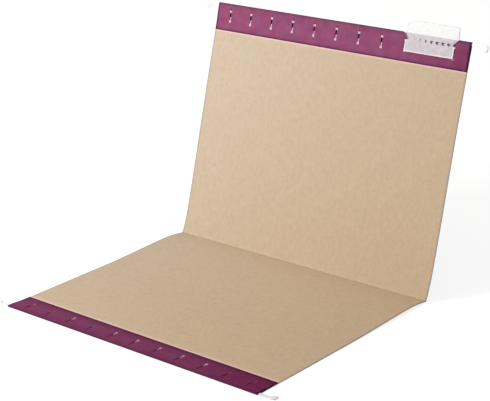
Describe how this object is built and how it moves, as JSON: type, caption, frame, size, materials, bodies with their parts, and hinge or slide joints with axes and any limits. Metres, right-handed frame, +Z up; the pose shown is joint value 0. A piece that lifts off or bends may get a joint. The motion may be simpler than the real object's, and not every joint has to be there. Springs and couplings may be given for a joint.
{
  "type": "hanging file folder",
  "caption": "Letter-size hanging file folder standing open: kraft-lined board with turned-in burgundy hems, hook rods, slits and a clear tab holder with a label card.",
  "frame": {"origin": "middle of the front flap's underside, on the table", "axes": "+X along the fold, to the right as seen from the open front; +Y from the front edge to the fold; +Z up"},
  "size_m": [0.333, 0.3075, 0.2364],
  "materials": {
    "burgundy_paper": "matte, fine fibre",
    "kraft_paper": "matte, flecked fibre",
    "coated_steel": "satin white coat",
    "tip_coating": "smooth white",
    "clear_plastic": "clear, slightly milky",
    "label_card": "smooth white card"
  },
  "bodies": {
    "front_flap": {"front_cover": "burgundy_paper", "front_liner": "kraft_paper", "front_rod": "coated_steel", "front_hook_left": "tip_coating", "front_hook_right": "tip_coating", "fold_crease": "burgundy_paper"},
    "back_flap": {"back_cover": "burgundy_paper", "back_liner": "kraft_paper", "back_rod": "coated_steel", "back_hook_left": "tip_coating", "back_hook_right": "tip_coating", "tab_holder": "clear_plastic"},
    "label": {"tab_label": "label_card"}
  },
  "joints": [
    {"name": "fold", "type": "hinge", "parent": "front_flap", "child": "back_flap", "pos_m": [0, 0.1175, 0.00063], "axis": [1, 0, 0], "range_deg": [-72.7, 105.8], "deforming": ["fold_crease"]},
    {"name": "label_slide", "type": "slide", "parent": "back_flap", "child": "label", "axis": [1, 0, 0], "range_m": [0, 0.058]}
  ]
}
